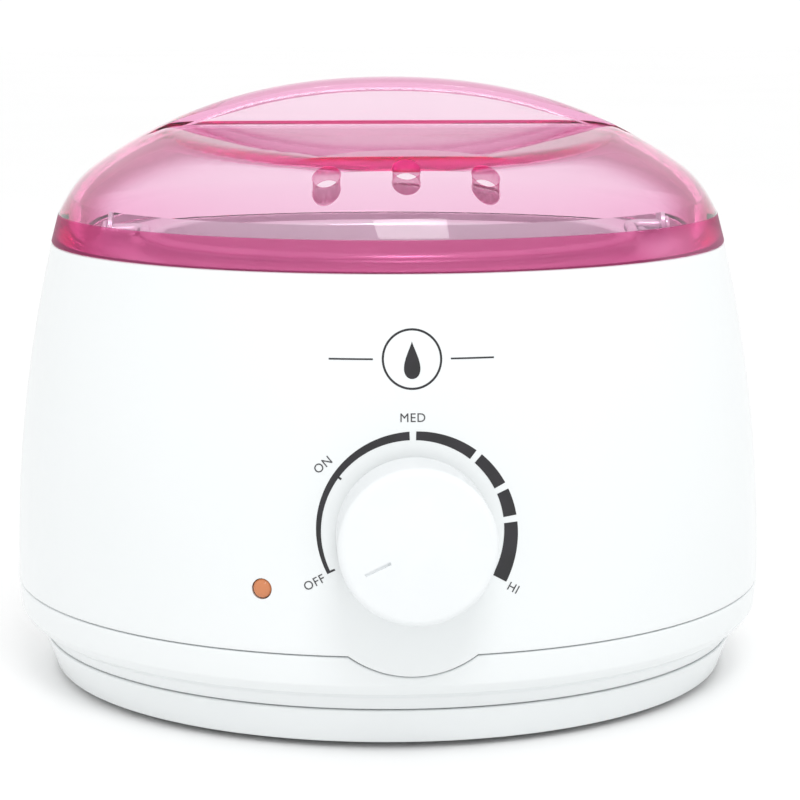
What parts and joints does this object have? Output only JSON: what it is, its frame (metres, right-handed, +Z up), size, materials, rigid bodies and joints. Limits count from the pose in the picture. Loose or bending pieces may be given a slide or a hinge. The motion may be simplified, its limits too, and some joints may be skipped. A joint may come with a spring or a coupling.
{
  "type": "wax warmer pot",
  "caption": "Round electric wax warmer with a barrel housing, a heat dial, a lift-out pot with a wire bail and a domed clear lid with a ridge handle.",
  "frame": {"origin": "middle of the round footprint, on the surface that the four rubber feet stand on", "axes": "+Z up along the axis of the pot, -Y towards the dial, +X to the right as seen from the front"},
  "size_m": [0.1804, 0.1976, 0.1419],
  "materials": {
    "white_shell": "moulded, soft gloss",
    "white_knob": "moulded, fine satin",
    "pink_clear": "clear tinted moulding, polished",
    "amber_lens": "clear tinted moulding",
    "drawn_aluminium": "deep drawn, satin",
    "plated_steel": "zinc plated",
    "screw_steel": "zinc plated",
    "foot_rubber": "matt",
    "mica_board": "matt laminate",
    "steatite": "matt",
    "turned_brass": "turned",
    "silver_contact": "bright",
    "lamp_glass": "clear",
    "black_plastic": "moulded, matt",
    "lead_sleeving": "braided glass sleeve"
  },
  "bodies": {
    "housing": {"upper_shell": "white_shell", "deck_ring": "white_shell", "lower_shell": "white_shell", "base_cover": "white_shell", "foot_front_left": "foot_rubber", "foot_front_right": "foot_rubber", "foot_rear_left": "foot_rubber", "foot_rear_right": "foot_rubber", "base_screws": "screw_steel", "heating_well": "drawn_aluminium", "well_screws": "screw_steel", "heater_mica": "mica_board", "heater_jacket": "plated_steel", "clamp_screw": "screw_steel", "clamp_nut": "screw_steel", "thermal_fuse": "steatite", "fuse_clip": "plated_steel", "thermostat_bracket": "plated_steel", "thermostat_bushing": "turned_brass", "thermostat_screws": "screw_steel", "stack_washers": "steatite", "contact_blade_moving": "turned_brass", "contact_blade_fixed": "turned_brass", "bimetal_strip": "plated_steel", "contact_points": "silver_contact", "stack_rivet": "plated_steel", "indicator_lens": "amber_lens", "neon_lamp": "lamp_glass", "lamp_sleeve": "foot_rubber", "cord_bushing": "black_plastic", "bushing_nut": "black_plastic", "terminal_block": "black_plastic", "terminal_screws": "screw_steel", "block_screw": "screw_steel", "lead_thermostat": "lead_sleeving", "lead_heater": "lead_sleeving", "lead_fuse": "lead_sleeving"},
    "dial_knob": {"knob": "white_knob", "knob_spring": "plated_steel", "thermostat_spindle": "turned_brass"},
    "wax_pot": {"pot": "drawn_aluminium", "pot_ear_left": "plated_steel", "pot_ear_right": "plated_steel", "ear_rivets": "plated_steel"},
    "bail_handle": {"bail": "plated_steel"},
    "cover_lid": {"lid": "pink_clear"}
  },
  "joints": [
    {"name": "knob_turn", "type": "hinge", "parent": "housing", "child": "dial_knob", "pos_m": [0, -0.0904, 0.0495], "axis": [0, 1, 0], "range_deg": [0, 235]},
    {"name": "pot_lift", "type": "slide", "parent": "housing", "child": "wax_pot", "axis": [0, 0, 1], "range_m": [0, 0.1]},
    {"name": "lid_lift", "type": "slide", "parent": "wax_pot", "child": "cover_lid", "axis": [0, 0, 1], "range_m": [0, 0.12]},
    {"name": "bail_swing", "type": "hinge", "parent": "wax_pot", "child": "bail_handle", "pos_m": [0, 0, 0.1042], "axis": [-1, 0, 0], "range_deg": [0, 180]}
  ],
  "couplings": [
    {"joint": "bail_swing", "follows": "lid_lift", "rad_per_m": 13.09}
  ]
}
